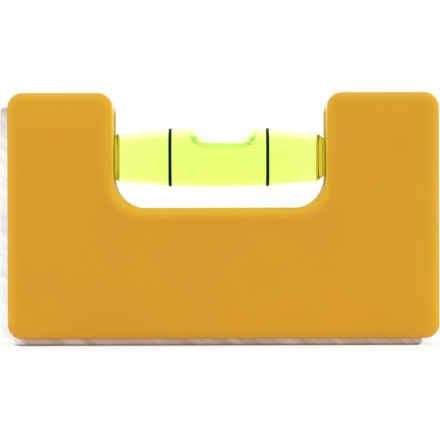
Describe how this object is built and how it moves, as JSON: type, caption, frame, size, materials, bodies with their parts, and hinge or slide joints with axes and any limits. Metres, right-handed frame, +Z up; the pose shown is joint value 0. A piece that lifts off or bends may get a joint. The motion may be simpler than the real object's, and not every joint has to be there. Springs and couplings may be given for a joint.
{
  "type": "pocket level",
  "caption": "U-shaped pocket spirit level: two moulded half shells hold a bowed bubble vial across a notch, with an L-shaped metal rail on the base and the left side.",
  "frame": {"origin": "under the middle of the whole level, on the face of the rail that it stands on", "axes": "+X to the right along the base, +Y to the rear, +Z up"},
  "size_m": [0.07, 0.02, 0.0404],
  "materials": {
    "body_plastic": "satin",
    "rail_metal": "satin",
    "magnet_plate": "satin",
    "vial_acrylic": "polished",
    "cap_acrylic": "polished",
    "vial_liquid": "polished",
    "bubble_air": "polished",
    "ring_ink": "satin"
  },
  "bodies": {
    "level": {"front_shell": "body_plastic", "rear_shell": "body_plastic", "edge_rail": "rail_metal", "base_magnet_left": "magnet_plate", "base_magnet_right": "magnet_plate", "side_magnet": "magnet_plate", "vial_barrel": "vial_acrylic", "vial_cap_left": "cap_acrylic", "vial_cap_right": "cap_acrylic", "index_ring_left": "ring_ink", "index_ring_right": "ring_ink", "vial_liquid": "vial_liquid"},
    "bubble": {"vial_bubble": "bubble_air"}
  },
  "joints": [
    {"name": "bubble_travel", "type": "hinge", "parent": "level", "child": "bubble", "pos_m": [-0.00015, 0, -0.11595], "axis": [0, 1, 0], "range_deg": [-4.25, 3.6], "stiffness_Nm_per_rad": 0.00027, "deforming": ["vial_liquid"]}
  ]
}
